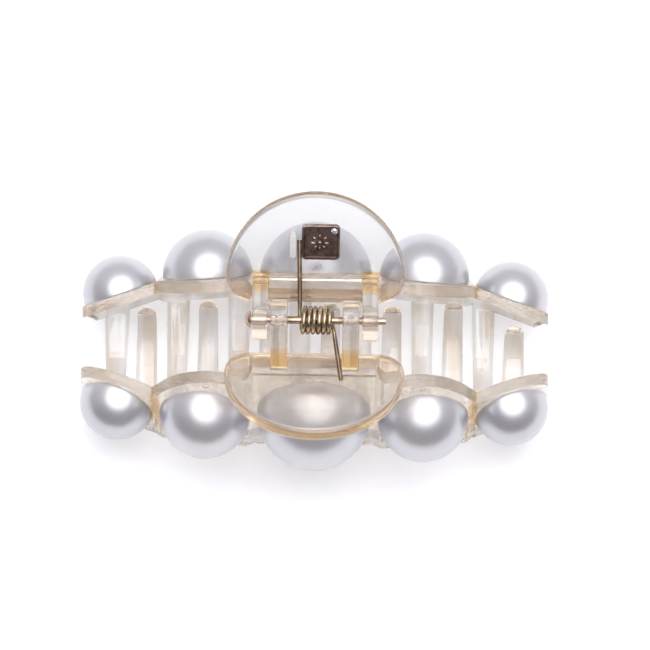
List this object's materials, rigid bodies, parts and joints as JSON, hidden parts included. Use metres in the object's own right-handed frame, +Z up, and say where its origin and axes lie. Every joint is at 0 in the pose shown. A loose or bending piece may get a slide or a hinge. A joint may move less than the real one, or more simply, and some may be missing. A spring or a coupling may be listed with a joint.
{
  "type": "claw clip",
  "caption": "Hair claw clip with clear moulded jaws, interlocking curved teeth, rounded thumb tabs, a sprung hinge and a row of half pearls along each jaw.",
  "frame": {"origin": "under the middle of the closed clip, level with the lowest points of the teeth", "axes": "+X along the hinge pin, +Y towards the back jaw, whose thumb tab carries the plaque, +Z up towards the thumb tabs"},
  "size_m": [0.0828, 0.0446, 0.0448],
  "materials": {
    "clear_plastic": "clear, polished",
    "pearl": "pearlescent lacquer",
    "pin_metal": "antique, satin",
    "spring_wire": "antique, satin",
    "plaque_metal": "dark bronze, satin",
    "crystal": "cut, polished"
  },
  "bodies": {
    "back": {"back_jaw": "clear_plastic", "back_centre_pearl": "pearl", "back_left_inner_pearl": "pearl", "back_right_inner_pearl": "pearl", "back_left_outer_pearl": "pearl", "back_right_outer_pearl": "pearl", "hinge_pin": "pin_metal", "torsion_spring": "spring_wire", "plaque": "plaque_metal", "plaque_crystal": "crystal"},
    "front": {"front_jaw": "clear_plastic", "front_centre_pearl": "pearl", "front_left_inner_pearl": "pearl", "front_right_inner_pearl": "pearl", "front_left_outer_pearl": "pearl", "front_right_outer_pearl": "pearl"}
  },
  "joints": [
    {"name": "jaw_hinge", "type": "hinge", "parent": "back", "child": "front", "pos_m": [0, 0, 0.03865], "axis": [-1, 0, 0], "range_deg": [0, 60], "stiffness_Nm_per_rad": 0.08, "springref_deg": -34.38, "deforming": ["torsion_spring"]}
  ]
}
